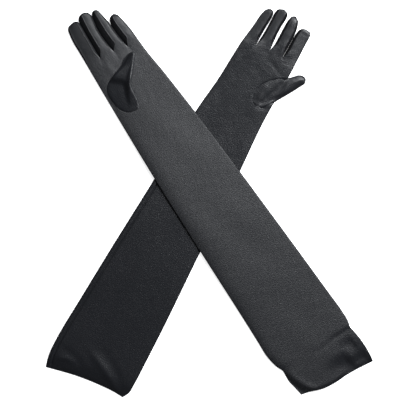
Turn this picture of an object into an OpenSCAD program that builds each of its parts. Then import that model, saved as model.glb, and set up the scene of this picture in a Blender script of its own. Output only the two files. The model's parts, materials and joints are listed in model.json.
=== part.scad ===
// A pair of opera gloves laid flat and crossed, both palms up, the left glove over the right one.
// Each glove has a sleeve in two lengths that fold at the elbow, a hand that folds at the wrist,
// four fingers that fold at their roots and a thumb that swings over the palm.
// Every outline is given flat in the glove's own frame: x across the glove, y from cuff to fingers.

/* [Cloth] */
// Thickness of one layer of cloth
cloth = 0.6; // [0.4:0.1:0.8]
// Height of the empty glove as it lies, back panel to palm panel
loft = 7; // [6.5:0.5:8]
// Width of the sewn or folded edge that joins two panels
edge_w = 1.4; // [1:0.2:2]
// Depth of the turned hem at the cuff
hem_depth = 20; // [12:1:30]

/* [Layout] */
// Turn of the left glove about the vertical
left_turn = 34.2; // [30:0.1:38]
// Turn of the right glove about the vertical
right_turn = -29.3; // [-33:0.1:-26]
// Distance from the cuff to the elbow fold
elbow_y = 130; // [115:5:145]
// Distance from the cuff to the left wrist fold
left_wrist_y = 445; // [440:1:448]
// Distance from the cuff to the right wrist fold
right_wrist_y = 420; // [412:1:428]

/* [Clearance] */
// Gap on each side of a fold line
gap = 0.4; // [0.3:0.1:0.6]
// Air between cloth lying on cloth
air = 0.3; // [0.3:0.1:0.5]

/* [Hidden] */
SIDES = ["right", "left"];
FINGERS = ["index", "middle", "ring", "little"];
PIECES = concat(
    ["upper_front", "upper_back", "upper_seam", "upper_fold", "hem"],
    ["forearm_front", "forearm_back", "forearm_seam", "forearm_fold"],
    ["palm", "hand_back", "hand_seam", "hand_fold", "thumb_base"],
    [for (f = FINGERS) for (p = ["front", "back", "fourchette"]) str(f, "_", p)],
    ["thumb_front", "thumb_back", "thumb_side"]
);

// Where each glove's own frame sits in the shared frame
right_origin = [-169.9, -240.5];
left_origin = [170.8, -239.7];

// Sleeve and hand edges as [y, x]: the seam runs up the little-finger side, the fold up the thumb side
right_seam_edge = [[-10, -54], [33, -60.5], [161, -56], [276, -50.5], [404, -45.5], [443, -41.5], [507, -38]];
right_fold_edge = [[5, 56], [28, 62], [101, 60], [222, 53], [355, 46], [427, 42], [507, 41]];
left_seam_edge = [[-5.5, 58], [17, 58.5], [163, 57], [298, 52], [420, 46], [475, 42.5], [530, 38.5]];
left_fold_edge = [[6, -49], [71, -59], [97, -58.5], [238, -54], [367, -49.5], [456, -44.7], [539, -39.5]];

// Inner points of the cuff edge as [x, y], from the seam to the fold
right_hem = [[-9, 0], [21, 4]];
left_hem = [[-7, -4], [-25, -2], [-41, 6]];

// Fingers as [root, tip, root width, tip width]
right_fingers = [
    [[31.3, 508.5], [30.1, 560], 18, 15],
    [[11.2, 513], [9.8, 570], 17.6, 14],
    [[-9.3, 513], [-8.6, 570], 17.8, 15],
    [[-28.8, 507], [-26.5, 562], 18.4, 14]
];
left_fingers = [
    [[-29.3, 540], [-24.8, 600], 19, 16.5],
    [[-8.7, 537.5], [-6, 602], 19.4, 15.5],
    [[11.6, 533.5], [11, 595.5], 18.6, 13],
    [[30, 530], [28.6, 577], 16.8, 14]
];

// Thumbs: the fold line that each swings about, from wrist to fingers, and the loose outline beyond it
right_thumb_line = [[43.8, 455], [41.6, 491]];
right_thumb_outline = [[46, 497], [55, 504.5], [63.5, 503.5], [64.8, 498], [54, 477]];
left_thumb_line = [[-36, 461], [-36, 502]];
left_thumb_outline = [[-16, 511], [5, 521], [17, 523], [23.8, 519.5], [-3, 478], [-10, 460], [-27, 457]];

// Oval opening in the palm where the thumb is set in: centre, half width and half length
right_thumb_hole = [[41, 466], 30, 27];
left_thumb_hole = [[-22, 481], 14, 24];

// The left forearm rises over the right glove between these distances from the right glove's axis
bridge_top = 55;
bridge_foot = 79;
lift = loft + air;
tip_steps = 8;
beyond = 700;

// Panel levels as [bottom, top] above whatever the glove lies on
BACK = [0, cloth];
SIDE = [cloth, loft - cloth];
FRONT = [loft - cloth, loft];
BACK_LINING = [cloth, 2 * cloth];
FRONT_LINING = [loft - 2 * cloth, loft - cloth];
THUMB_RAISE = loft + air;

function is_left(g) = g == "left";
function pick(g, l, r) = is_left(g) ? l : r;
function seam_edge(g) = pick(g, left_seam_edge, right_seam_edge);
function fold_edge(g) = pick(g, left_fold_edge, right_fold_edge);
function fingers(g) = pick(g, left_fingers, right_fingers);
function wrist_y(g) = pick(g, left_wrist_y, right_wrist_y);
function thumb_line(g) = pick(g, left_thumb_line, right_thumb_line);
function thumb_raise(g) = pick(g, THUMB_RAISE, 0);
function reverse(list) = [for (i = [len(list) - 1 : -1 : 0]) list[i]];
function unit(v) = v / norm(v);
function right_of(v) = [v[1], -v[0]];

// An edge between two heights, moved sideways by inset
function edge_run(edge, y0, y1, inset) = concat(
    [[lookup(y0, edge) + inset, y0]],
    [for (p = edge) if (p[0] > y0 && p[0] < y1) [p[1] + inset, p[0]]],
    [[lookup(y1, edge) + inset, y1]]
);
// A panel between two edges and two heights
function panel(a, b, y0, y1) = concat(edge_run(a, y0, y1, 0), reverse(edge_run(b, y0, y1, 0)));
// A strip along one edge; inset is positive towards the glove's middle line
function strip(edge, y0, y1, from, to) =
    let (inward = edge[0][1] > 0 ? -1 : 1)
    concat(edge_run(edge, y0, y1, from * inward), reverse(edge_run(edge, y0, y1, to * inward)));

// Finger frame and outline: straight sides, round tip
function finger_axis(f) = unit(f[1] - f[0]);
function finger_len(f) = norm(f[1] - f[0]);
function finger_point(f, across, along) = f[0] + across * right_of(finger_axis(f)) + along * finger_axis(f);
function finger_outline(f, inset) =
    let (r = f[3] / 2, top = finger_len(f) - f[3] * 0.45)
    concat(
        [finger_point(f, -f[2] / 2 + inset, gap), finger_point(f, f[2] / 2 - inset, gap)],
        [for (i = [0 : tip_steps])
            let (t = i * 180 / tip_steps)
            finger_point(f, (r - inset) * cos(t), top + (r * 0.9 - inset) * sin(t))]
    );

// The end of the hand, cut square to each finger's root
function root_points(f) = [for (s = [-1, 1]) finger_point(f, s * (f[2] / 2 + gap / 2), -gap)];
function left_to_right(g) = is_left(g) ? fingers(g) : reverse(fingers(g));
function hand_end(g) = [for (f = left_to_right(g)) each root_points(f)];
function root_y(g, side) = let (e = hand_end(g)) side < 0 ? e[0][1] : e[len(e) - 1][1];
function left_edge(g) = is_left(g) ? fold_edge(g) : seam_edge(g);
function right_edge(g) = is_left(g) ? seam_edge(g) : fold_edge(g);
function hand_outline(g) = concat(
    edge_run(left_edge(g), wrist_y(g) + gap, root_y(g, -1) - gap, 0),
    hand_end(g),
    reverse(edge_run(right_edge(g), wrist_y(g) + gap, root_y(g, 1) - gap, 0))
);

// Thumb outline: its root lies along the line that it swings about
function thumb_outward(g) = unit(right_of(thumb_line(g)[1] - thumb_line(g)[0]));
function thumb_outline(g) = concat(
    [for (p = thumb_line(g)) p + gap * thumb_outward(g)],
    pick(g, left_thumb_outline, right_thumb_outline)
);

module place(g) {
    origin = pick(g, left_origin, right_origin);
    translate([origin[0], origin[1], 0]) rotate([0, 0, pick(g, left_turn, right_turn)]) children();
}

// A flat piece of one glove: the outline is the child, level is [bottom, top]
module slab(g, level, raise = 0) {
    place(g) translate([0, 0, raise + level[0]]) linear_extrude(level[1] - level[0]) children();
}

// A piece of the left forearm, which climbs over the right glove and down again
function floor_line(z) = [
    [-beyond, z], [-bridge_foot, z], [-bridge_top, z + lift],
    [bridge_top, z + lift], [bridge_foot, z], [beyond, z]
];
module forearm_slab(g, level) {
    if (is_left(g)) {
        intersection() {
            place("left") linear_extrude(4 * loft) children();
            place("right") translate([0, beyond, 0]) rotate([90, 0, 0]) linear_extrude(beyond)
                polygon(concat(floor_line(level[0]), reverse(floor_line(level[1]))));
        }
    } else {
        slab(g, level) children();
    }
}

// Sleeve from the cuff to the elbow; its end follows the curve of the hem
module cuff_shape(g, inset) {
    s = seam_edge(g);
    f = fold_edge(g);
    y1 = elbow_y - gap;
    inward = s[0][1] > 0 ? -1 : 1;
    seam_run = edge_run(s, s[0][0], y1, inset * inward);
    fold_run = edge_run(f, f[0][0], y1, -inset * inward);
    polygon(concat(seam_run, reverse(fold_run), reverse(pick(g, left_hem, right_hem))));
}
module hem_zone(g) {
    intersection() {
        children();
        polygon(concat(
            [for (p = cuff_end(g)) p + [0, hem_depth]],
            [for (p = reverse(cuff_end(g))) p - [0, hem_depth]]
        ));
    }
}
function cuff_end(g) =
    let (s = seam_edge(g)[0], f = fold_edge(g)[0])
    concat([[s[1] * 1.4, s[0]]], pick(g, left_hem, right_hem), [[f[1] * 1.4, f[0]]]);

module upper_front(g) {
    color("dimgray") slab(g, FRONT) cuff_shape(g, 0);
}
module upper_back(g) {
    color("black") slab(g, BACK) cuff_shape(g, 0);
}
module upper_seam(g) {
    e = seam_edge(g);
    color("darkslategray") slab(g, SIDE) polygon(strip(e, e[0][0], elbow_y - gap, 0, edge_w));
}
module upper_fold(g) {
    e = fold_edge(g);
    color("darkslategray") slab(g, SIDE) polygon(strip(e, e[0][0], elbow_y - gap, 0, edge_w));
}
// The cuff's end turned inside and sewn down, as a lining all round the opening
module hem(g) {
    color("gray") {
        for (level = [BACK_LINING, FRONT_LINING]) slab(g, level) hem_zone(g) cuff_shape(g, edge_w);
        slab(g, [2 * cloth, loft - 2 * cloth]) hem_zone(g) difference() {
            cuff_shape(g, edge_w);
            cuff_core(g);
        }
    }
}
// The open space inside the hem
module cuff_core(g) {
    inset = edge_w + cloth;
    s = seam_edge(g);
    f = fold_edge(g);
    inward = s[0][1] > 0 ? -1 : 1;
    polygon(concat(
        edge_run(s, s[0][0] - hem_depth, elbow_y, inset * inward),
        reverse(edge_run(f, f[0][0] - hem_depth, elbow_y, -inset * inward))
    ));
}

module forearm_front(g) {
    color("dimgray") forearm_slab(g, FRONT)
        polygon(panel(seam_edge(g), fold_edge(g), elbow_y + gap, wrist_y(g) - gap));
}
module forearm_back(g) {
    color("black") forearm_slab(g, BACK)
        polygon(panel(seam_edge(g), fold_edge(g), elbow_y + gap, wrist_y(g) - gap));
}
module forearm_seam(g) {
    color("darkslategray") forearm_slab(g, SIDE)
        polygon(strip(seam_edge(g), elbow_y + gap, wrist_y(g) - gap, 0, edge_w));
}
module forearm_fold(g) {
    color("darkslategray") forearm_slab(g, SIDE)
        polygon(strip(fold_edge(g), elbow_y + gap, wrist_y(g) - gap, 0, edge_w));
}

module thumb_hole(g) {
    h = pick(g, left_thumb_hole, right_thumb_hole);
    translate(h[0]) scale([h[1] / h[2], 1]) circle(h[2], $fn = 32);
}
module palm(g) {
    color("dimgray") slab(g, FRONT) difference() {
        polygon(hand_outline(g));
        thumb_hole(g);
    }
}
module thumb_base(g) {
    color("slategray") slab(g, FRONT) intersection() {
        polygon(hand_outline(g));
        thumb_hole(g);
    }
}
module hand_back(g) {
    color("black") slab(g, BACK) polygon(hand_outline(g));
}
module hand_seam(g) {
    side = is_left(g) ? 1 : -1;
    color("darkslategray") slab(g, SIDE)
        polygon(strip(seam_edge(g), wrist_y(g) + gap, root_y(g, side) - gap, 0, edge_w));
}
module hand_fold(g) {
    side = is_left(g) ? -1 : 1;
    color("darkslategray") slab(g, SIDE)
        polygon(strip(fold_edge(g), wrist_y(g) + gap, root_y(g, side) - gap, 0, edge_w));
}

module finger_front(g, i) {
    color("dimgray") slab(g, FRONT) polygon(finger_outline(fingers(g)[i], 0));
}
module finger_back(g, i) {
    color("black") slab(g, BACK) polygon(finger_outline(fingers(g)[i], 0));
}
// The strip between palm side and back side, up one side of the finger, round its tip and down again
module finger_fourchette(g, i) {
    f = fingers(g)[i];
    color("darkslategray") slab(g, SIDE) difference() {
        polygon(finger_outline(f, 0));
        translate(-2 * gap * finger_axis(f)) polygon(finger_outline(f, edge_w));
    }
}

module thumb_front(g) {
    color("slategray") slab(g, FRONT, thumb_raise(g)) polygon(thumb_outline(g));
}
module thumb_back(g) {
    color("black") slab(g, BACK, thumb_raise(g)) polygon(thumb_outline(g));
}
// Both long edges of the thumb piece and its tip, left open at the root
module thumb_side(g) {
    color("darkslategray") slab(g, SIDE, thumb_raise(g)) difference() {
        polygon(thumb_outline(g));
        hull() for (step = [0, -2 * edge_w]) translate(step * thumb_outward(g))
            offset(delta = -edge_w) polygon(thumb_outline(g));
    }
}

for (g = SIDES) {
    upper_front(g);
    upper_back(g);
    upper_seam(g);
    upper_fold(g);
    hem(g);
    forearm_front(g);
    forearm_back(g);
    forearm_seam(g);
    forearm_fold(g);
    palm(g);
    hand_back(g);
    hand_seam(g);
    hand_fold(g);
    thumb_base(g);
    for (i = [0 : len(FINGERS) - 1]) {
        finger_front(g, i);
        finger_back(g, i);
        finger_fourchette(g, i);
    }
    thumb_front(g);
    thumb_back(g);
    thumb_side(g);
}
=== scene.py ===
"""A pair of black satin opera gloves, crossed and palms up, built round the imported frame."""

import json
import math

import bmesh
import bpy
import numpy as np
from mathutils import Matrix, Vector


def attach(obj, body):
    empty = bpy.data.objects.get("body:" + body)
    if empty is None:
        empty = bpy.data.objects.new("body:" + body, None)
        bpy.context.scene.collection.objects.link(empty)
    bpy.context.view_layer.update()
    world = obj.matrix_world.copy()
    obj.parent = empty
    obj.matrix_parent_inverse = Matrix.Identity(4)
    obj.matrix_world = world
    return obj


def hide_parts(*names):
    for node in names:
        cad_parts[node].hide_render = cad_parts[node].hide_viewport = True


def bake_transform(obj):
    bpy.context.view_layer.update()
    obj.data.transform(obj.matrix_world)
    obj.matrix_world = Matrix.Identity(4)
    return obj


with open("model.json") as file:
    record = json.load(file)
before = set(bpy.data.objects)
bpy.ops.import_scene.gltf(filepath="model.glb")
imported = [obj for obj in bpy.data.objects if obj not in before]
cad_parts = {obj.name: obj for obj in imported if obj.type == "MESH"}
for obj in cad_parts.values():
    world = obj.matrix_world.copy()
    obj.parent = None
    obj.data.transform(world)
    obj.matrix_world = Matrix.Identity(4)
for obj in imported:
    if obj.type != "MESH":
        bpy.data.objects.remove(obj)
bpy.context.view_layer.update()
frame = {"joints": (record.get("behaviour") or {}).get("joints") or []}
MM = 0.001
JOINTS = {j["name"]: j for j in frame["joints"]}

# ---------------------------------------------------------------- sizes, in millimetres
ELBOW_Y = 130.0  # the elbow's hinge, from the cuff
CUT_Y = 285.0  # where the sleeve piece ends and the hand piece begins
HEM = 20.0
CLOTH = 0.8
EDGE_R = 0.9  # how far the half-round side folds bulge out
FLOOR_AIR = 0.3
CROWN = 4.3  # height of an empty sleeve
PRESSED = 3.4  # and its height under the other glove
CUFF_RISE = 1.2
CUFF_REACH = 90.0
HAND_RISE = (15.0, 150.0)  # how far before the wrist the hand starts to rise, and over how long
PRESSED_TO = (50.0, 70.0)  # how far off the other glove the pressed cloth recovers, and over how long
LIFT = 4.0  # how far the left glove rides up where it crosses the right one
LIFT_UNDER = (48.0, 100.0)  # distances from the right glove's middle over which its back comes down
LIFT_OVER = (10.0, 190.0)  # and over which its palm side does
SINK = 1.3  # how far the palm is sunk under a thumb's base
LEAST_HEIGHT = 1.1
LEAST_GAP = 0.25
WRIST_HALF = 15.0
ELBOW_HALF = 17.0
FINGER_ZONE = (1.5, 17.0)  # the stretch past its hinge set aside for a finger's bend, though no bend is made
THUMB_ZONE = (-7.0, 9.0)

# ---------------------------------------------------------------- mesh layout
ROW_STEP = 2.6
PER_FINGER = 12  # palm-side faces across one finger
TOP = 4 * PER_FINGER  # palm-side faces across the hand or the sleeve
SIDE = 5  # points on each side fold
FINGER_ROWS = 34
THUMB_ROWS = 46
THUMB_COLUMNS = 22


# ================================================================ small maths
def smoothstep(t):
    """0 below 0, 1 above 1, and a smooth rise between."""
    t = np.clip(t, 0.0, 1.0)
    return t * t * (3 - 2 * t)


def curve(points):
    """A smooth function through (position, value) pairs: cubic pieces with averaged slopes."""
    p = np.array(points, float)
    t, v = p[:, 0], p[:, 1]
    slope = np.gradient(v, t)

    def at(q):
        q = np.clip(np.asarray(q, float), t[0], t[-1])
        i = np.clip(np.searchsorted(t, q, side="right") - 1, 0, len(t) - 2)
        h = t[i + 1] - t[i]
        s = (q - t[i]) / h
        a = (1 + 2 * s) * (1 - s) ** 2 * v[i] + s * (1 - s) ** 2 * h * slope[i]
        return a + s * s * (3 - 2 * s) * v[i + 1] + s * s * (s - 1) * h * slope[i + 1]

    return at


def outline(points, n=200):
    """A smooth curve in the plane through the points, as a function of the share of its length."""
    p = np.array(points, float)
    chord = np.concatenate([[0], np.cumsum(np.linalg.norm(np.diff(p, axis=0), axis=1))])
    fx, fy = curve(np.c_[chord, p[:, 0]]), curve(np.c_[chord, p[:, 1]])
    t = np.linspace(0, chord[-1], n)
    q = np.c_[fx(t), fy(t)]
    run = np.concatenate([[0], np.cumsum(np.linalg.norm(np.diff(q, axis=0), axis=1))])
    run /= run[-1]
    return lambda s: np.c_[np.interp(s, run, q[:, 0]), np.interp(s, run, q[:, 1])]


def along_line(x, y, points, width, height):
    """A ridge (or, with a negative height, a groove) along a run of points, fading out at its ends."""
    p = np.array(points, float)
    lengths = np.linalg.norm(np.diff(p, axis=0), axis=1)
    best = np.full(np.shape(x), 1e9)
    where = np.zeros(np.shape(x))
    done = 0.0
    for a, b, n in zip(p[:-1], p[1:], lengths):
        d = (b - a) / n
        s = np.clip((x - a[0]) * d[0] + (y - a[1]) * d[1], 0, n)
        r = np.hypot(x - a[0] - s * d[0], y - a[1] - s * d[1])
        near = r < best
        best = np.where(near, r, best)
        where = np.where(near, done + s, where)
        done += n
    share = where / done
    fade = smoothstep(share / 0.25) * smoothstep((1 - share) / 0.25)
    return height * np.exp(-((best / width) ** 2)) * (0.25 + 0.75 * fade)


def beyond(x, y, points, width):
    """How far a place lies to the left of a line, as a share of width, fading out at the line's top."""
    p = np.array(sorted(points, key=lambda q: q[1]), float)
    edge = np.interp(y, p[:, 1], p[:, 0])
    return np.clip((edge - x) / width, 0, 1) * smoothstep((p[-1, 1] - y) / 8)


def side_of(x, y, points):
    """Signed distance to the left of a run of points, and the share along it, of each place."""
    p = np.array(points, float)
    best = np.full(np.shape(x), 1e9)
    signed, where = np.zeros(np.shape(x)), np.zeros(np.shape(x))
    total = np.linalg.norm(np.diff(p, axis=0), axis=1).sum()
    done = 0.0
    for a, b in zip(p[:-1], p[1:]):
        n = np.linalg.norm(b - a)
        d = (b - a) / n
        s = np.clip((x - a[0]) * d[0] + (y - a[1]) * d[1], 0, n)
        r = np.hypot(x - a[0] - s * d[0], y - a[1] - s * d[1])
        turn = np.sign(d[0] * (y - a[1]) - d[1] * (x - a[0]))
        near = r < best
        best = np.where(near, r, best)
        signed = np.where(near, r * turn, signed)
        where = np.where(near, (done + s) / total, where)
        done += n
    return signed, where


def sag(x, y, centre, radii, depth):
    """A patch where the cloth falls away towards the cuff, steep on its right and long on its left."""
    dx = x - centre[0]
    across = np.exp(-((dx / np.where(dx > 0, radii[0], 3.5 * radii[0])) ** 2))
    fall = smoothstep((centre[1] + radii[1] - y) / (2 * radii[1]))
    back = np.exp(-((np.maximum(centre[1] - radii[1] - y, 0) / radii[2]) ** 2))
    return -depth * across * fall * back


def step_down(x, y, points, depth, reach):
    """A crease with the cloth lower on its right side, seen along the points, and rising again beyond."""
    beside, share = side_of(x, y, points)
    d = -beside
    fade = smoothstep(share / 0.7)
    return -depth * fade * smoothstep((d + 1.0) / 2.2) * np.exp(-np.maximum(d, 0) / reach)


def off_thumb_fold(x, y):
    """Distance past the fold across the left thumb, towards its tip."""
    return (x + 14) * 0.68 + (y - 499) * 0.73


def ripple(x, y, size, seed):
    """Gentle uneven undulation between about -1 and 1, with waves about size long."""
    rng = np.random.default_rng(seed)
    total = np.zeros(np.shape(x))
    for _ in range(7):
        angle = rng.uniform(0, math.pi)
        k = 2 * math.pi / (size * rng.uniform(0.6, 1.7))
        phase = rng.uniform(0, 2 * math.pi)
        total = total + np.sin(k * (x * math.cos(angle) + y * math.sin(angle)) + phase)
    return total / 7 * 1.6


# ================================================================ the two gloves
class Glove:
    """One glove flat in its own frame: x across, y from cuff to fingers, z up, in millimetres."""

    def __init__(self, side, data):
        self.side = side
        self.__dict__.update(data)
        elbow = np.array(JOINTS[side + "_elbow"]["pos_m"]) / MM
        wrist = np.array(JOINTS[side + "_wrist"]["pos_m"]) / MM
        forearm = (wrist - elbow)[:2]
        self.wrist_y = ELBOW_Y + float(np.hypot(*forearm))
        self.up = forearm / np.hypot(*forearm)
        self.across = np.array([self.up[1], -self.up[0]])
        self.origin = elbow[:2] - ELBOW_Y * self.up
        self.left, self.right = curve(self.left_edge), curve(self.right_edge)
        self.hem = curve(self.hem_line)
        self.roots = np.array(self.root_line, float)

    def softness(self, y):
        """How far in from the left and right edges the cloth takes to rise to its full height."""
        left, right = (np.array(pairs, float) for pairs in self.shoulders)
        return np.interp(y, left[:, 0], left[:, 1]), np.interp(y, right[:, 0], right[:, 1])

    def world(self, p):
        """Points in this glove's frame, moved to the shared frame, in metres."""
        p = np.asarray(p, float).reshape(-1, 3)
        flat = self.origin + p[:, :1] * self.across + p[:, 1:2] * self.up
        return np.c_[flat, p[:, 2]] * MM

    def off_other(self, x, y):
        """How far to the side of the other glove's middle line a place lies."""
        px = self.origin[0] + x * self.across[0] + y * self.up[0]
        py = self.origin[1] + x * self.across[1] + y * self.up[1]
        other = GLOVES["left" if self.side == "right" else "right"]
        return np.abs((px - other.origin[0]) * other.across[0] + (py - other.origin[1]) * other.across[1])

    def lift(self, x, y, reach):
        """Height by which the left glove rides up over the right one."""
        if self.side == "right":
            return np.zeros(np.shape(x))
        return LIFT * (1 - smoothstep((self.off_other(x, y) - reach[0]) / (reach[1] - reach[0])))

    def cuff_y(self, x, y):
        """Distance from the cuff's edge."""
        share = np.clip((x - self.left(0)) / (self.right(0) - self.left(0)), 0, 1)
        return y - self.hem(share)

    def crown(self, x, y):
        """Height of the cloth well inside its edges."""
        on_hand = smoothstep((y - self.wrist_y + HAND_RISE[0]) / HAND_RISE[1])
        crown = CROWN + (self.hand_crown - CROWN) * on_hand
        crown = crown + CUFF_RISE * (1 - smoothstep(y / CUFF_REACH))
        if self.side == "right":
            free = smoothstep((self.off_other(x, y) - PRESSED_TO[0]) / PRESSED_TO[1])
            crown = PRESSED + (crown - PRESSED) * free
        crown = crown + 0.3 * ripple(x, y * 0.6, 50, self.seed) + 0.06 * ripple(x, y, 18, self.seed + 1)
        on_hand = smoothstep((y - self.wrist_y) / 40)
        return crown + 0.07 * on_hand * ripple(x, y, 11, self.seed + 2)

    def cuff_fall(self, x, y):
        """How far the cloth comes down to the cuff's edge, and outside the line of its rolled corner."""
        d = self.cuff_y(x, y)
        fall = self.cuff_drop[1] * np.exp(-((np.maximum(d, 0) / self.cuff_drop[0]) ** 2))
        fall = fall + self.hem_curl[1] * np.clip(1 - d / self.hem_curl[0], 0, 1) ** 1.4
        for points, width, depth in self.rolled:
            turned = beyond(x, y, points, width)
            fall = fall * (1 - turned) + depth * turned
        return fall

    def seam(self, y, from_left):
        """The sunk line of the long seam, with a soft ridge between it and the left edge."""
        d = from_left - self.seam_in
        fade = smoothstep((self.wrist_y - 30 - y) / 60)
        return fade * (0.8 * np.exp(-(((d + 3.0) / 2.4) ** 2)) - 1.5 * np.exp(-((d / 0.9) ** 2)))

    def top(self, x, y, sunk=True):
        """Height of the palm-side cloth, sunk a little under the thumb's base where sunk is true."""
        dl, dr = x - self.left(y), self.right(y) - x
        soft_l, soft_r = self.softness(y)
        at_left, at_right = np.exp(-np.maximum(dl, 0) / soft_l), np.exp(-np.maximum(dr, 0) / soft_r)
        z = self.crown(x, y) - self.edge_drop[0] * at_left - self.edge_drop[1] * at_right
        z = z - self.cuff_fall(x, y)
        for points, width, height in self.folds:
            z = z + along_line(x, y, points, width, height) * smoothstep(dl / 5) * smoothstep(dr / 5)
        for points, depth, reach in self.steps:
            z = z + step_down(x, y, points, depth, reach)
        for centre, radii, depth in self.sags:
            z = z + sag(x, y, centre, radii, depth)
        if self.seam_in:
            z = z + self.seam(y, dl)
        for cx, cy in self.roots[1:-1]:
            reach = np.exp(-((np.maximum(cy - y, 0) / self.crotch[0]) ** 2))
            z = z - self.crotch[1] * reach * np.exp(-(((x - cx) / 2.6) ** 2))
        if sunk:
            z = z - SINK * self.under_thumb(x, y)
        return self.lift(x, y, LIFT_OVER) + np.maximum(z, LEAST_HEIGHT)

    def under_thumb(self, x, y):
        """1 inside the outline of the thumb's base, 0 outside it."""
        inside, _ = side_of(x, y, self.thumb_base)
        return smoothstep((inside - 1.2) / 1.6) * (1 - self.past_fold(x, y))

    def pulled(self, x, y):
        """How far the threads are pulled askew towards the crumpled corner of the cuff."""
        r = np.maximum(x, 0)
        return self.askew * r * r / (r + 15) * (1 - smoothstep(y / 60))

    def past_fold(self, x, y):
        """1 beyond the line at which the folded left thumb leaves the palm."""
        if self.side == "right":
            return np.zeros(np.shape(x))
        return smoothstep((off_thumb_fold(x, y) + 2.5) / 5.0)

    def bottom(self, x, y):
        """Height of the back of the glove."""
        return self.lift(x, y, LIFT_UNDER) + FLOOR_AIR + 0.12 * (1 + ripple(x, y, 40, self.seed + 7))


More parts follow.
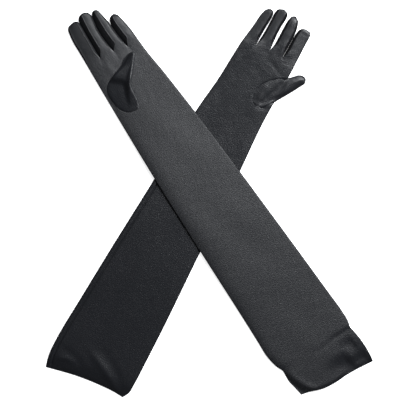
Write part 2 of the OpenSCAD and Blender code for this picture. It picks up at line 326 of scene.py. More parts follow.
# Outlines and lines are (x, y) points, except the two edges, which are (y, x), the shoulders, which are
# (y, distance), and hem_line, which is (share of the width, y). A fold is (points, width, height), a step
# is (points, depth, reach), a sag is (centre, radii, depth) and a rolled corner is (points, width, depth).
# A finger's six numbers are where its palm side's left and right seams stand, as shares of half its width,
# their heights, as shares of its height, and how far its left and right sides bulge: see section().
DATA = {
    "right": dict(
        seed=11,
        crotch=(4.0, 0.3),
        hand_crown=9.2,
        edge_drop=(1.6, 1.8),
        askew=0.0,
        finger_height=9.8,
        hem_curl=(4.5, 1.8),
        rolled=[],
        steps=[],
        seam_on_left=True,
        seam_in=7.0,
        shoulders=(
            [(0, 5), (60, 2.4), (400, 2.4), (450, 4), (510, 4)],
            [(0, 8), (90, 7), (200, 6), (300, 4), (510, 3)],
        ),
        cuff_drop=(13, 3.2),
        left_edge=[
            (-10, -54), (0, -57), (14, -59.3), (33, -60), (92, -58.3), (161, -55.8),
            (276, -50.6), (404, -45.4), (443, -41.4), (494, -38.9), (505, -38.3),
        ],
        right_edge=[
            (5, 57.5), (14, 62), (28, 62.6), (60, 61.7), (101, 60.2), (222, 53.3), (355, 45.9),
            (427, 41.2), (453, 41), (490, 41.3), (507, 41),
        ],
        hem_line=[(0, -10), (0.08, -8), (0.41, 0), (0.68, 4), (0.89, 5.5), (1, 5)],
        root_line=[(-38.3, 505), (-19, 509), (1.5, 514), (21.5, 510), (41, 507)],
        folds=[
            ([(-15, 41), (-4, 36), (13, 28), (29, 19), (43, 11), (55, 1)], 4.6, 1.1),
            ([(-2, 52), (14, 42), (34, 30), (50, 20)], 4.5, -0.5),
            ([(-48, 10), (-40, 12), (-33, 15), (-25, 14)], 2.2, 0.7),
            ([(-52, 22), (-38, 24), (-22, 20), (-8, 12)], 4.0, -0.6),
            ([(-24, 504), (-11, 497), (3, 488), (14, 484)], 4.6, 0.1),
            ([(-2, 489), (9, 485.4), (23, 483.5)], 1.8, 0.12),
            ([(4, 501), (17, 496), (28, 491), (37, 488)], 2.8, -0.35),
            ([(-6, 510), (5, 506)], 2.4, -0.3),
            ([(24, 507), (33, 508.5), (41, 506)], 1.3, -0.4),
            ([(20, 437), (28, 438.5), (38, 443)], 2.4, -0.5),
            ([(-30, 505), (-24, 480), (-26, 450)], 7.0, -0.4),
        ],
        sags=[],
        thumb_grain=math.radians(-10),
        fingers=[
            ("little", (-0.8, 0.55, 0.54, 0.86, 1.1, 1.2),
             [(-38.3, 505), (-36.3, 520), (-34.6, 534), (-33, 551), (-30.5, 559), (-26, 563)],
             [(-19, 509), (-18.9, 522), (-18.7, 536), (-18.3, 547), (-18.4, 555),
              (-20.6, 561.5), (-26, 563)]),
            ("ring", (-0.58, 0.58, 0.66, 0.88, 1.25, 1.25),
             [(-19, 509), (-17.9, 522), (-17.3, 538), (-17.6, 551), (-18, 560),
              (-16.3, 567), (-9, 571.3)],
             [(1.5, 514), (0.5, 524), (-0.6, 537), (-0.9, 550), (-0.3, 560),
              (-1.4, 567), (-9, 571.3)]),
            ("middle", (-0.58, 0.58, 0.78, 0.88, 1.25, 1.25),
             [(1.5, 514), (2.9, 522), (2.9, 535), (2.7, 548), (2.8, 560), (4.9, 568), (9, 570.8)],
             [(21.5, 510), (20.9, 522), (20.9, 535), (20.5, 547), (18.9, 557),
              (15, 566.5), (9, 570.8)]),
            ("index", (-0.6, 0.8, 0.84, 0.6, 1.25, 1.1),
             [(21.5, 510), (21.1, 522), (21, 536), (21.1, 550), (22.6, 557),
              (26.3, 560.6), (32.5, 561.2)],
             [(41, 507), (40.4, 520), (40, 534), (39.6, 548), (39.4, 556),
              (38, 560.3), (32.5, 561.2)]),
        ],
        thumb_base=[
            (41, 492.5), (30, 486.6), (20, 478.3), (12.8, 467.5), (9.8, 458), (9.6, 450), (12, 444),
            (15.5, 440.3), (22, 437.8), (31, 440), (38.5, 450),
        ],
        thumb_up=[
            (12, 444), (9.6, 450), (9.8, 458), (12.8, 467.5), (20, 478.3), (30, 486.6),
            (40.5, 492.4), (46, 497.3), (51.5, 503), (58, 505), (63, 503.6),
        ],
        thumb_down=[
            (12, 444), (15.5, 440.3), (22, 437.8), (31, 440), (38.5, 450), (44, 460), (50, 470),
            (56, 480.5), (61, 490), (64.8, 498), (63, 503.6),
        ],
    ),
    "left": dict(
        seed=23,
        crotch=(10, 0.4),
        hand_crown=5.2,
        edge_drop=(2.8, 0.3),
        askew=0.45,
        finger_height=5.4,
        hem_curl=(4.5, 2.0),
        rolled=[([(-55, 51), (-47.5, 40), (-44, 28), (-39, 17), (-31, 6), (-25, -8)], 13.0, 4.4)],
        steps=[([(-14, 46.8), (18, 48.6), (32, 49.6), (43, 50), (52, 48.6), (70, 46)], 1.1, 16.0)],
        seam_on_left=False,
        seam_in=0.0,
        shoulders=(
            [(0, 5), (70, 5), (200, 7), (360, 8), (430, 8), (480, 12), (540, 11)],
            [(0, 1.6), (60, 1.0), (480, 1.0), (540, 1.6)],
        ),
        cuff_drop=(28, 0.9),
        left_edge=[
            (6, -49.3), (20, -51.3), (33, -53.4), (44, -52.6), (49, -52.3), (57, -55.6), (67, -58),
            (80, -59.3), (97, -58.5), (238, -54), (367, -49.4), (456, -44.7), (506, -41.6), (540, -39.3),
        ],
        right_edge=[
            (-8, 56.8), (0, 58.2), (12, 59.3), (28, 59.2), (41, 57.8), (47.5, 56.9), (55, 59), (70, 60),
            (100, 59.2), (139, 58), (163, 57.2), (298, 52), (420, 46.2), (475, 42.5), (517, 38.8),
            (530.5, 38.4),
        ],
        hem_line=[(0, 8), (0.1, 5), (0.26, -1.2), (0.44, -4), (0.66, -4.4), (0.8, -5.7), (1, -8.5)],
        root_line=[(-39.3, 540), (-19, 537), (2, 535), (22, 529.5), (38.4, 530.5)],
        folds=[
            ([(-50, 46), (-44, 29), (-39, 17), (-31, 5), (-24, -6)], 5.0, 0.7),
            ([(-18.5, 531), (-15.6, 519), (-13, 508)], 5.0, 0.4),
            ([(-40, 500), (-41.5, 482), (-40, 466)], 2.2, -0.6),
            ([(4, 528), (14, 518), (26, 508)], 5.0, 0.25),
        ],
        sags=[((45, 36), (4, 7, 12), 1.5), ((26, 19), (6, 9, 60), 3.0), ((49, 9), (7, 7, 60), 2.4)],
        thumb_grain=math.radians(-92),
        fingers=[
            ("index", (-0.7, 0.72, 0.42, 0.98, 1.15, 1.2),
             [(-39.3, 540), (-38.6, 551), (-37.8, 565), (-37.2, 577), (-35.4, 588),
              (-33, 596), (-30, 599), (-24, 599.8)],
             [(-19, 537), (-18.2, 552), (-17.2, 566), (-16.3, 580), (-15.5, 590),
              (-15.9, 597), (-19, 599.6), (-24, 599.8)]),
            ("middle", (-0.2, 0.8, 0.95, 0.92, 1.2, 1.2),
             [(-19, 537), (-18.4, 552), (-17.4, 566), (-16.5, 580), (-15.7, 591),
              (-13.8, 599), (-9.3, 602.8), (-5, 603.6)],
             [(2, 535), (0.6, 548), (-0.1, 560), (0.5, 575), (3.2, 588),
              (4.2, 594), (1.6, 600.5), (-5, 603.6)]),
            ("ring", (0.0, 0.82, 0.96, 0.92, 1.2, 1.2),
             [(2, 535), (0.4, 548), (-0.3, 560), (0.3, 575), (3, 588),
              (4.7, 594), (8, 597.6), (11.2, 598)],
             [(22, 529.5), (19.4, 545), (18.6, 560), (18.6, 573), (17.2, 583),
              (16, 590.5), (14.5, 595.8), (11.2, 598)]),
            ("little", (-0.12, 0.84, 0.97, 0.88, 1.2, 1.15),
             [(22, 529.5), (19.2, 545), (18.4, 560), (19.4, 571), (22, 576.5),
              (26, 578.8), (30, 579.2)],
             [(38.4, 530.5), (38.2, 541), (37.7, 551.5), (36.6, 560), (35.3, 569),
              (33, 576.3), (30, 579.2)]),
        ],
        thumb_base=[
            (-15.7, 510.7), (-23.5, 507.6), (-31.4, 504), (-37.8, 494.5), (-38.8, 481), (-36, 466),
            (-29, 457), (-20, 453.6),
            (-14.7, 453.6), (-9.4, 460.9), (-6.6, 474), (-5, 487),
        ],
        thumb_up=[
            (-20, 453.6), (-29, 457), (-36, 466), (-38.8, 481), (-37.8, 494.5), (-31.4, 504),
            (-23.5, 507.6), (-15.7, 510.7), (-4, 514), (7, 520.6), (16.8, 523), (22.5, 522.3),
        ],
        thumb_down=[
            (-20, 453.6), (-14.7, 453.6), (-9.4, 460.9), (-6.6, 474), (-4.4, 484), (6.6, 497),
            (18.3, 510.4), (23.9, 518.5), (22.5, 522.3),
        ],
    ),
}
GLOVES = {side: Glove(side, data) for side, data in DATA.items()}


# ================================================================ meshes
class Skin:
    """Vertices, faces and flat positions of one piece, in its glove's frame."""

    def __init__(self, glove, name):
        self.glove, self.name = glove, name
        self.points, self.faces, self.flat = [], [], []
        # faces on the side folds, which take the duller cross-grain cloth with painted shade in its darker
        # colour
        self.cross_grain_painted_shade = set()

    def ring(self, points, flat):
        """Adds a ring of points and gives back their numbers."""
        start = len(self.points)
        self.points.extend(map(tuple, points))
        self.flat.extend(map(tuple, flat))
        return list(range(start, start + len(points)))

    def join(self, a, b, cross_grain_painted_shade=()):
        """Faces between two rings; the places given as side faces take the duller cross-grain cloth, whose
        darker colour is painted shade.
        """
        n = len(a)
        for i in range(n):
            k = (i + 1) % n
            if i in cross_grain_painted_shade:
                self.cross_grain_painted_shade.add(len(self.faces))
            self.faces.append((a[i], a[k], b[k], b[i]))

    def cap(self, ring):
        """Closes a ring with a fan round its middle."""
        p = np.array([self.points[i] for i in ring])
        f = np.array([self.flat[i] for i in ring])
        middle = self.ring([p.mean(axis=0)], [f.mean(axis=0)])[0]
        for i in range(len(ring)):
            self.faces.append((ring[i], ring[(i + 1) % len(ring)], middle))


def columns(glove, y):
    """Shares of the width at which the palm-side columns stand at height y."""
    width = float(glove.right(y) - glove.left(y))
    near = np.array([0, 0.5, 2.2, 4.0, 5.1, 5.7, 6.2, 6.7, 7.3, 8.5, 10.5])  # crowded round the seam
    far = np.array([4.6, 2.2, 0.5, 0])
    middle = np.linspace(near[-1], width - far[0], TOP + 1 - len(near) - len(far) + 2)[1:-1]
    sleeve = np.concatenate([near, middle, width - far]) / width
    if not glove.seam_on_left:
        sleeve = 1 - sleeve[::-1]
    x = glove.roots[:, 0]
    quarters = [np.linspace(a, b, PER_FINGER + 1)[:-1] for a, b in zip(x[:-1], x[1:])]
    hand = np.concatenate(quarters + [[x[-1]]])
    hand = (hand - x[0]) / (x[-1] - x[0])
    w = smoothstep((y - glove.wrist_y) / (glove.roots[0, 1] - glove.wrist_y - 6))
    return sleeve + (hand - sleeve) * w


def arc(top_point, bottom_point, out):
    """The points strictly between two edge points on a half-round fold that bulges by out."""
    a = np.linspace(0, math.pi, SIDE + 2)[1:-1]
    share = (1 - np.cos(a)) / 2
    p = top_point + (bottom_point - top_point) * share[:, None]
    p[:, 0] += out * np.sin(a)
    return p


def tube_ring(glove, ys, share, inset=0.0):
    """One ring round the sleeve or hand: palm side left to right, then the back right to left."""
    ys = np.broadcast_to(ys, share.shape).astype(float)
    r = EDGE_R
    left, right = glove.left(ys) + r + inset, glove.right(ys) - r - inset
    x = left + share * (right - left)
    z_top, z_bot = glove.top(x, ys), glove.bottom(x, ys)
    room = np.clip((z_top - z_bot - LEAST_GAP) / 2, 0, inset)
    z_top = z_top - room
    z_bot = np.minimum(z_bot + room, z_top - LEAST_GAP)
    top = np.c_[x, ys, z_top]
    back = np.c_[x, ys, z_bot][::-1]
    right_arc = arc(top[-1], back[0], r)
    left_arc = arc(back[-1], top[0], -r)
    ring = np.vstack([top, right_arc, back, left_arc])
    back_x = x[-1] + 3 + (x[-1] - x[::-1])
    fold = np.linspace(1, 2, SIDE)
    flat_x = np.concatenate([x, x[-1] + fold, back_x, back_x[-1] + fold])
    flat_y = np.concatenate([ys, np.full(SIDE, ys[-1]), ys[::-1], np.full(SIDE, ys[0])])
    flat_y = flat_y + glove.pulled(ring[:, 0], flat_y)
    return ring, np.c_[flat_x, flat_y]


def sleeve_rows(glove, share_at, y0, y1):
    """Rows from y0 to y1; near the cuff the rows follow the hem's curve."""
    n = int(round((y1 - y0) / ROW_STEP))
    for j in range(n + 1):
        base = y0 + (y1 - y0) * j / n
        share = share_at(base)
        bend = glove.hem(share) * (1 - smoothstep(base / 80))
        yield base + bend, share


# the fold at the cuff's edge: (distance from the edge, how far inside the sleeve's surface)
HEM_FOLD = ((0.5, CLOTH * 0.93), (0.15, CLOTH * 0.7), (0, CLOTH * 0.4), (0.15, CLOTH * 0.12))


def lower_sleeve(glove):
    """From the fold at the cuff up over the elbow to the middle of the forearm."""
    skin = Skin(glove, glove.side + "_sleeve")
    share = columns(glove, 40.0)
    hem = glove.hem(share)
    rings = []
    for depth, inset in HEM_FOLD[2:]:
        rings.append(skin.ring(*tube_ring(glove, hem + depth, share, inset)))
    for ys, share in sleeve_rows(glove, lambda y: columns(glove, max(y, 40.0)), 0.7, CUT_Y):
        rings.append(skin.ring(*tube_ring(glove, ys, share)))
    for a, b in zip(rings[:-1], rings[1:]):
        skin.join(a, b, side_faces(TOP))
    return skin


def turned_hem(glove):
    """The band of cloth folded in at the cuff, from the fold to its free edge inside."""
    skin = Skin(glove, glove.side + "_turned_hem")
    share = columns(glove, 40.0)
    hem = glove.hem(share)
    rings = []
    for depth in np.arange(HEM, 0.9, -2.4):
        rings.append(skin.ring(*tube_ring(glove, hem + depth, share, CLOTH)))
    for depth, inset in HEM_FOLD[:3]:
        rings.append(skin.ring(*tube_ring(glove, hem + depth, share, inset)))
    for a, b in zip(rings[:-1], rings[1:]):
        skin.join(a, b, side_faces(TOP))
    return skin


def upper_sleeve(glove):
    """The other half of the forearm, and the hand up to the finger roots."""
    skin = Skin(glove, glove.side + "_hand")
    rings = []
    start = glove.wrist_y + 10
    for ys, share in sleeve_rows(glove, lambda y: columns(glove, y), CUT_Y, start):
        rings.append(skin.ring(*tube_ring(glove, ys, share)))
    n = int(round((glove.roots[:, 1].max() - start) / 2.0))
    for j in range(1, n + 1):
        share = columns(glove, start + (glove.roots[0, 1] - start) * j / n)
        x = glove.roots[0, 0] + share * (glove.roots[-1, 0] - glove.roots[0, 0])
        end = np.interp(x, glove.roots[:, 0], glove.roots[:, 1])
        rings.append(skin.ring(*tube_ring(glove, start + (end - start) * j / n, share)))
    for a, b in zip(rings[:-1], rings[1:]):
        skin.join(a, b, side_faces(TOP))
    return skin, rings[-1]


def side_faces(across):
    """Which faces of a ring with this many palm-side faces belong to its two sides."""
    right = range(across, across + SIDE + 1)
    left = range(2 * across + 1 + SIDE, 2 * across + 2 + 2 * SIDE)
    return {*right, *left}


def bezier(a, c, b, s):
    """Points at the shares s of a curve from a to b that is drawn towards c."""
    s = s[:, None]
    return (1 - s) ** 2 * a + 2 * s * (1 - s) * c + s * s * b


# shares across a finger, closer together near its seams
END_CLOSE = np.array([0, 0.045, 0.1, 0.18, 0.28, 0.39, 0.5, 0.61, 0.72, 0.82, 0.9, 0.955, 1])


def section(style, h):
    """A finger's cross-section as (share of half width, height): palm, right, back, left."""
    ridge_l, ridge_r, z_l, z_r, out_l, out_r = style
    tl, tr, br, bl = (ridge_l, z_l * h), (ridge_r, z_r * h), (0.8, 0.1), (-0.8, 0.1)
    c_top = ((ridge_l + ridge_r) / 2, (z_l + z_r) / 2 * h + 0.12 * h)
    c_right, c_left = (out_r, 0.4 * h), (-out_l, 0.3 * h)
    inner = np.linspace(0, 1, SIDE + 2)[1:-1]
    tl, tr, br, bl = map(np.array, (tl, tr, br, bl))
    top = bezier(tl, np.array(c_top), tr, END_CLOSE)
    right = bezier(tr, np.array(c_right), br, inner)
    back = bezier(br, np.zeros(2), bl, END_CLOSE)
    left = bezier(bl, np.array(c_left), tl, inner)
    ring = np.vstack([top, right, back, left])
    low, high = ring[:, 0].min(), ring[:, 0].max()
    ring[:, 0] = (ring[:, 0] - (low + high) / 2) / ((high - low) / 2)
    return ring


def seam_relief():
    """Raised seams beside a finger's palm side, with the cloth sunk a little next to them."""
    relief = np.zeros(2 * (PER_FINGER + 1) + 2 * SIDE)
    relief[[0, PER_FINGER]] = 0.5
    relief[[1, PER_FINGER - 1]] = -0.12
    relief[[PER_FINGER + 1, -1]] = -0.1
    return relief


SEAM_RELIEF = seam_relief()


def finger_ring(glove, style, l, r, close, t):
    """One ring of a finger between its outlines' points l and r, and the way round it to each point."""
    width = np.linalg.norm(r - l)
    h = glove.finger_height * close * (1 + 0.14 * t)
    u = section(style, h)
    xy = (l + r) / 2 + u[:, :1] * (width / 2) * (r - l) / width
    z = FLOOR_AIR + (0.5 - 0.5 * close) * 2 + u[:, 1] + SEAM_RELIEF * close
    z = z + 0.16 * close * np.clip(u[:, 1] / h, 0, 1) * ripple(xy[:, 0], xy[:, 1], 9, glove.seed + 3)
    way = np.concatenate([[0], np.cumsum(np.hypot(np.diff(u[:, 0] * width / 2), np.diff(u[:, 1])))])
    return np.c_[xy, z], way


def loft(glove, name, style, up, down, root, settle=14.0):
    """A finger: a tube between a left and a right outline, starting from the hand's own edge."""
    skin = Skin(glove, name)
    left, right = outline(up), outline(down)
    full_width = 0.8 * float(np.linalg.norm(right(np.array([0.45])) - left(np.array([0.45]))))
    rings, travelled, last, first = [], 0.0, None, None
    for t in (1 - (1 - np.linspace(0, 1, FINGER_ROWS)) ** 1.35) * 0.996:
        l, r = left(np.array([t]))[0], right(np.array([t]))[0]
        close = min(1.0, (np.linalg.norm(r - l) / full_width) ** 0.75)
        ring, way = finger_ring(glove, style, l, r, close, t)
        centre = ring.mean(axis=0)[:2]
        if last is None:
            first = root - ring
        else:
            travelled += float(np.linalg.norm(centre - last))
        last = centre
        ring = ring + first * (1 - smoothstep(travelled / settle))
        flat = np.c_[ring[0, 0] + way, np.full(len(ring), ring[:, 1].mean())]
        rings.append(skin.ring(ring, flat))
    for a, b in zip(rings[:-1], rings[1:]):
        skin.join(a, b, side_faces(PER_FINGER))
    skin.cap(rings[-1])
    return skin


def finger(glove, index, hand, last_ring):
    """The finger that starts from its quarter of the hand's last ring."""
    name, style, up, down = glove.fingers[index]
    ring = np.array([hand.points[i] for i in last_ring])
    top = ring[: TOP + 1]
    right_side = ring[TOP + 1 : TOP + 1 + SIDE]
    back = ring[TOP + 1 + SIDE : 2 * TOP + 2 + SIDE][::-1]
    left_side = ring[2 * TOP + 2 + SIDE :]
    a, b = index * PER_FINGER, (index + 1) * PER_FINGER
    inner = np.linspace(0, 1, SIDE + 2)[1:-1, None]
    right = right_side if index == 3 else top[b] + (back[b] - top[b]) * inner
    left = left_side if index == 0 else back[a] + (top[a] - back[a]) * inner
    root = np.vstack([top[a : b + 1], right, back[a : b + 1][::-1], left])
    return loft(glove, f"{glove.side}_{name}", style, up, down, root)


def thumb(glove):
    """The thumb piece: its base fills the oval in the palm, its free end is a closed tube."""
    skin = Skin(glove, glove.side + "_thumb")
    up, down = outline(glove.thumb_up), outline(glove.thumb_down)
    s = (1 - np.cos(np.linspace(0, math.pi, THUMB_COLUMNS + 1))) / 2
    heights = THUMB_HEIGHTS[glove.side]
    grain = np.array([math.cos(glove.thumb_grain), math.sin(glove.thumb_grain)])
    rings = []
    for t in np.linspace(0.012, 0.988, THUMB_ROWS):
        l, r = up(np.array([t]))[0], down(np.array([t]))[0]
        xy = l + (r - l) * s[:, None]
        z_top, z_bot = heights(glove, xy[:, 0], xy[:, 1], s, t, float(np.linalg.norm(r - l)))
        ring = np.vstack([np.c_[xy, z_top], np.c_[xy, z_bot][::-1][1:-1]])
        flat = ring[:, :2] @ np.array([[grain[0], -grain[1]], [grain[1], grain[0]]])
        flat[THUMB_COLUMNS + 1 :, 1] += 100
        rings.append(skin.ring(ring, flat))
    for a, b in zip(rings[:-1], rings[1:]):
        skin.join(a, b)
    skin.cap(rings[0][::-1])
    skin.cap(rings[-1])
    return skin


RIGHT_THUMB_FOLDS = (
    ([(23, 474), (20.5, 466), (19.5, 457), (21, 444)], 4.2, 0.6),
    ([(42, 494), (37.5, 476), (32, 461), (27, 447), (23, 434)], 3.8, -2.0),
    ([(25, 445), (35, 455), (43, 463), (50, 474)], 2.0, -1.1),
    ([(28, 439), (36, 449), (45, 461), (56, 482)], 1.7, 0.8),
    ([(45, 490), (52, 494), (60, 500)], 4.0, 0.5),
)


def right_thumb_heights(glove, x, y, s, _t, width):
    """Set into the palm at its base, level with the hand beyond it."""
    up, down = s * width, (1 - s) * width
    edge = np.minimum(up, down)
    palm = glove.top(x, y, sunk=False)
    out = smoothstep((x - 33) / 12)
    close = min(1.0, (width / 13) ** 0.7)
    rise = (1 - np.exp(-up / 8.0)) * (1 - np.exp(-down / 1.6))
    on_palm = palm - 0.7 + 0.6 * s + 0.8 * rise
    free = 2.2 + (7.2 * close - 2.2) * (1 - np.exp(-edge / 3.2))
    z = on_palm + (free - on_palm) * out
    for points, w, h in RIGHT_THUMB_FOLDS:
        z = z + along_line(x, y, points, w, h) * (1 - np.exp(-edge / 2.5))
    under = palm - 2.2
    low = 0.45 + 1.5 * np.exp(-edge / 1.2) + 0.8 * (1 - close)
    z_bot = under + (low - under) * out
    return z, np.minimum(z_bot, z - 0.35 * (1 - np.exp(-edge / 1.2)))


LEFT_CREST = [(-22, 463), (-16, 473), (-9, 483), (-3, 492), (8, 504), (22, 519)]
LEFT_BROW = [(-30, 503), (-18, 507), (-7, 509.5), (6, 508), (14, 512), (22, 519)]
LEFT_CREST_HEIGHT = curve([(0, 1.2), (0.25, 4.4), (0.5, 7.0), (0.75, 5.4), (1, 3.4)])


def left_thumb_heights(glove, x, y, s, t, width):
    """Folded over the palm: a slope down to the left from a crest, with a fold across it."""
    left, right = s * width, (1 - s) * width
    palm = glove.top(x, y, sunk=False)
    beside, share = side_of(x, y, LEFT_CREST)
    over, _ = side_of(x, y, LEFT_BROW)
    crest = LEFT_CREST_HEIGHT(share)
    slope = crest - 0.68 * np.maximum(beside, 0) - 0.06 * np.maximum(-beside, 0)
    slope = np.maximum(slope, 1.0)
    shaded = 6.5 * smoothstep((t - 0.52) / 0.28)
    facet = 4.6 - 0.30 * np.maximum(over, 0) - 0.6 * np.maximum(shaded - left, 0)
    past_fold = glove.past_fold(x, y)
    climb = np.clip((off_thumb_fold(x, y) + 4.5) / 6.5, 0, 1)
    body = slope + np.maximum(facet - slope, 0) * climb
    close = min(1.0, (width / 9) ** 0.6)
    rise = (1 - np.exp(-left / 1.6)) * (1 - np.exp(-right / 0.4))
    z = palm - 0.25 + body * close * rise
    z_bot = palm - 2.2 + 2.3 * past_fold * rise
    return z, np.minimum(z_bot, z - 0.35 * rise)


THUMB_HEIGHTS = {"right": right_thumb_heights, "left": left_thumb_heights}


# ================================================================ normals shared by joined pieces
def vertex_normals(points, faces):
    """The area-weighted normal at each point, not yet of unit length."""
    normals = np.zeros_like(points)
    for face in faces:
        p = points[list(face)]
        n = np.cross(p[1] - p[0], p[2] - p[0])
        if len(face) == 4:
            n = n + np.cross(p[2] - p[0], p[3] - p[0])
        for i in face:
            normals[i] += n
    return normals


def shared_normals(skins):
    """Sums normals where pieces of one glove meet, so that the cloth shades as one."""
    sums = {}
    worlds = []
    for skin in skins:
        points = skin.glove.world(skin.points)
        normals = vertex_normals(points, skin.faces)
        worlds.append((points, normals))
        for p, n in zip(np.round(points * 1e5).astype(int), normals):
            key = tuple(p)
            sums[key] = sums.get(key, 0) + n
    result = []
    for points, normals in worlds:
        n = np.array([sums[tuple(p)] for p in np.round(points * 1e5).astype(int)])
        length = np.linalg.norm(n, axis=1, keepdims=True)
        n = np.where(length > 0, n / np.maximum(length, 1e-20), [0, 0, 1])
        result.append((points, n))
    return result


def to_object(skin, points, normals, material):
    """A scene object from a skin, with its flat positions as a UV map."""
    mesh = bpy.data.meshes.new(skin.name)
    mesh.from_pydata([tuple(p) for p in points], [], skin.faces)
    mesh.materials.append(material)
    # the side-fold faces take the second cloth, made darker in colour as painted shade
    if skin.cross_grain_painted_shade:
        mesh.materials.append(SIDE_SATIN_PAINTED_SHADE)
        index = [int(i in skin.cross_grain_painted_shade) for i in range(len(mesh.polygons))]
        mesh.polygons.foreach_set("material_index", index)
    mesh.polygons.foreach_set("use_smooth", [True] * len(mesh.polygons))
    uv = mesh.uv_layers.new(name="flat")
    flat = np.array(skin.flat) * MM
    loops = np.zeros(len(mesh.loops), int)
    mesh.loops.foreach_get("vertex_index", loops)
    uv.data.foreach_set("uv", flat[loops].ravel())
    mesh.update()
    mesh.normals_split_custom_set_from_vertices([tuple(n) for n in normals])
    piece = bpy.data.objects.new(skin.name, mesh)
    bpy.context.scene.collection.objects.link(piece)
    return piece


# ================================================================ materials
class Nodes:
    """Short ways to add the texture and bump nodes of one cloth material."""

    def __init__(self, material):
        material.use_nodes = True
        self.tree = material.node_tree
        self.shader = self.tree.nodes["Principled BSDF"]

    def add(self, kind, **inputs):
        """A node with some of its inputs set or, where the value is another node's socket, linked."""
        node = self.tree.nodes.new("ShaderNode" + kind)
        self.feed(node, **inputs)
        return node

    def feed(self, node, **inputs):
        for name, value in inputs.items():
            socket = node.inputs[name.replace("_", " ")]
            if isinstance(value, bpy.types.NodeSocket):
                self.tree.links.new(value, socket)
            else:
                socket.default_value = value


def satin(name, colour, speck, roughness, aniso, gloss=0.5):
    """Black satin: dark cloth with a broad soft gloss, a fine weave and a light grain."""
    material = bpy.data.materials.new(name)
    nodes = Nodes(material)
    uv = nodes.add("UVMap")
    uv.uv_map = "flat"
    flat = uv.outputs["UV"]
    tangent = nodes.add("Tangent")
    tangent.direction_type = "UV_MAP"
    tangent.uv_map = "flat"
    grain = nodes.add("TexNoise", Vector=flat, Scale=760, Detail=1.5).outputs["Fac"]
    patches = nodes.add("TexNoise", Vector=flat, Scale=480, Detail=2).outputs["Fac"]
    colours = nodes.add("Mix")
    colours.data_type = "RGBA"
    nodes.feed(colours, A=(*colour, 1), B=(*speck, 1), Factor=grain)
    rough = nodes.add("MapRange", Value=patches, From_Min=0.3, From_Max=0.7)
    nodes.feed(rough, To_Min=roughness - 0.1, To_Max=roughness + 0.1)
    along = nodes.add("Mapping", Vector=flat, Scale=(2600, 700, 1)).outputs["Vector"]
    threads = nodes.add("TexNoise", Vector=along, Scale=1.0, Detail=1).outputs["Fac"]
    weave = nodes.add("Bump", Strength=0.3, Distance=0.00006, Height=threads)
    bumps = nodes.add("Bump", Strength=0.6, Distance=0.0007, Height=grain, Normal=weave.outputs["Normal"])
    nodes.feed(nodes.shader, Specular_IOR_Level=gloss, Anisotropic=aniso)
    nodes.feed(nodes.shader, Sheen_Weight=0.02, Sheen_Roughness=0.35)
    nodes.feed(nodes.shader, Tangent=tangent.outputs["Tangent"], Base_Color=colours.outputs["Result"])
    nodes.feed(nodes.shader, Roughness=rough.outputs["Result"], Normal=bumps.outputs["Normal"])
    return material


SATIN = satin("black_satin", (0.004, 0.0044, 0.0058), (0.0082, 0.0088, 0.011), 0.47, 0.5)
# the side folds and fourchettes: cross-grain satin, rougher and less glossy, and darker in colour as
# painted shade for sides that turn away from the light
SIDE_SATIN_PAINTED_SHADE = satin(
    "black_satin_cross_grain", (0.002, 0.0022, 0.003), (0.005, 0.0052, 0.0065), 0.6, 0.2, 0.16
)
REVERSE = satin("satin_reverse", (0.006, 0.0062, 0.007), (0.014, 0.0145, 0.016), 0.75, 0.1, 0.2)


# ================================================================ pieces, bodies and stand-ins
def out_of(hinge):
    """The flat direction across a hinge's axis that points away from the wrist."""
    axis = np.array(hinge["axis"])
    return np.array([-axis[1], axis[0], 0])


def blend_over(piece, inner, outer, root, out, before, after):
    """Bakes the piece's placement into its mesh and works out the ends of the stretch from before to after
    the hinge, in millimetres; it blends nothing, and the two bodies are not used.
    """
    start, end = (tuple(root + out * distance * MM) for distance in (before, after))
    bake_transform(piece)
    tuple(start)
    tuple(end)


def dress_tube(g, hem, sleeve, palm):
    """Gives the turned hem its body, bakes the sleeve and the hand in place, and hides the stand-ins of
    all three.
    """
    side = g.side
    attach(hem, side + "_upper")
    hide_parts(side + "_hem")
    along = np.array([*g.up, 0])
    elbow = np.array(JOINTS[side + "_elbow"]["pos_m"])
    wrist = np.array(JOINTS[side + "_wrist"]["pos_m"])
    blend_over(sleeve, side + "_upper", side + "_forearm", elbow, along, -ELBOW_HALF, ELBOW_HALF)
    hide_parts(*[f"{side}_upper_{p}" for p in ("front", "back", "seam", "fold")])
    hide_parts(*[f"{side}_forearm_{p}" for p in ("front", "back")])
    blend_over(palm, side + "_forearm", side + "_hand", wrist, along, -WRIST_HALF, WRIST_HALF)
    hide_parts(*[f"{side}_forearm_{p}" for p in ("seam", "fold")])
    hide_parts(side + "_palm", *[f"{side}_hand_{p}" for p in ("back", "seam", "fold")])


def dress_fingers(g, made):
    """Bakes the four fingers and the thumb in place and hides their stand-ins."""
    side = g.side
    for name, *_ in g.fingers:
        piece = made[f"{side}_{name}"]
        hinge = JOINTS[f"{side}_{name}_bend"]
        root = np.array(hinge["pos_m"])
        blend_over(piece, side + "_hand", f"{side}_{name}", root, out_of(hinge), *FINGER_ZONE)
        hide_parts(*[f"{side}_{name}_{p}" for p in ("front", "back", "fourchette")])
    piece = made[side + "_thumb"]
    hinge = JOINTS[side + "_thumb_fold"]
    out = out_of(hinge)
    out = out if out @ np.array([*g.across, 0]) > 0 else -out
    blend_over(piece, side + "_hand", side + "_thumb", np.array(hinge["pos_m"]), out, *THUMB_ZONE)
    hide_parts(*[f"{side}_thumb_{p}" for p in ("base", "front", "back", "side")])


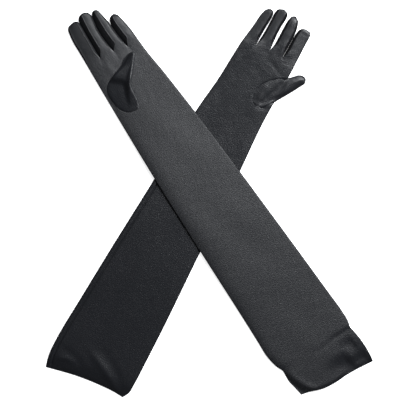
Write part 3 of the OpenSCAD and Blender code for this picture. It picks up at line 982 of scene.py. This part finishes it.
def dress(g):
    """Makes one glove's pieces, gives the turned hem its body and hides the plain solids the pieces stand
    for.
    """
    hand, last = upper_sleeve(g)
    fingers = [finger(g, i, hand, last) for i in range(4)]
    skins = [turned_hem(g), lower_sleeve(g), hand, *fingers, thumb(g)]
    made = {}
    for skin, (points, normals) in zip(skins, shared_normals(skins)):
        cloth = REVERSE if skin.name.endswith("_hem") else SATIN
        made[skin.name] = to_object(skin, points, normals, cloth)
    dress_tube(g, *[made[f"{g.side}_{p}"] for p in ("turned_hem", "sleeve", "hand")])
    dress_fingers(g, made)
    return made


for glove in GLOVES.values():
    dress(glove)

# ================================================================ camera, floor and light
scene = bpy.context.scene
VIEW_CENTRE = (-12.4, 3.6)  # what the camera looks straight down on, in millimetres
FIELD = 541.5  # how much it takes in, in millimetres
LOOK_HEIGHT = 5.0
LENS = 100.0
SENSOR = 36.0
FLOOR_HALF = 6.0
DOME_R = 5.0


def add_object(name, data):
    thing = bpy.data.objects.new(name, data)
    scene.collection.objects.link(thing)
    return thing


def glowing(name, colour, glow, roughness=0.5, gloss=0.0):
    """A plain material that also gives off white light."""
    material = bpy.data.materials.new(name)
    nodes = Nodes(material)
    nodes.feed(nodes.shader, Base_Color=(*colour, 1), Roughness=roughness, Specular_IOR_Level=gloss)
    nodes.feed(nodes.shader, Emission_Color=(1, 1, 1, 1), Emission_Strength=glow)
    return material


def overhead_camera():
    """The camera, straight above the gloves, with the whole pair in its field."""
    data = bpy.data.cameras.new("camera")
    data.lens = LENS
    data.sensor_width = SENSOR
    data.clip_end = 20
    camera = add_object("camera", data)
    height = FIELD / SENSOR * LENS + LOOK_HEIGHT
    camera.location = (VIEW_CENTRE[0] * MM, VIEW_CENTRE[1] * MM, height * MM)
    scene.camera = camera


def white_floor():
    """A sheet of white paper, which the satin's gloss does not mirror."""
    mesh = bpy.data.meshes.new("floor")
    h = FLOOR_HALF
    mesh.from_pydata([(-h, -h, 0), (h, -h, 0), (h, h, 0), (-h, h, 0)], [], [(0, 1, 2, 3)])
    mesh.materials.append(glowing("white_paper", (0.93, 0.93, 0.93), 0.8, 0.9, 0.1))
    floor = add_object("floor", mesh)
    floor.visible_glossy = False


def pale_backdrop():
    """A pale dome for the low views to look at; it lights and shades nothing."""
    mesh = bpy.data.meshes.new("backdrop")
    sphere = bmesh.new()
    bmesh.ops.create_uvsphere(sphere, u_segments=48, v_segments=24, radius=DOME_R)
    sphere.to_mesh(mesh)
    sphere.free()
    mesh.materials.append(glowing("pale_backdrop", (0, 0, 0), 0.92))
    dome = add_object("backdrop", mesh)
    for ray in ("visible_glossy", "visible_diffuse", "visible_shadow"):
        setattr(dome, ray, False)


def soft_box(name, place, size, power):
    """A square soft light that faces the middle of the gloves."""
    light = bpy.data.lights.new(name, "AREA")
    light.shape = "SQUARE"
    light.size = size
    light.energy = power
    light.color = (0.955, 0.975, 1.0)
    lamp = add_object(name, light)
    lamp.location = place
    lamp.rotation_mode = "QUATERNION"
    lamp.rotation_quaternion = (-Vector(place)).to_track_quat("-Z", "Y")


def faint_sky():
    """A little bluish light from all round."""
    world = bpy.data.worlds.new("studio")
    world.use_nodes = True
    background = world.node_tree.nodes["Background"]
    background.inputs["Color"].default_value = (0.9, 0.95, 1, 1)
    background.inputs["Strength"].default_value = 0.09
    scene.world = world


overhead_camera()
white_floor()
pale_backdrop()
faint_sky()
soft_box("key", (1.19, 1.375, 1.5), 1.5, 146)
scene.view_settings.view_transform = "Standard"
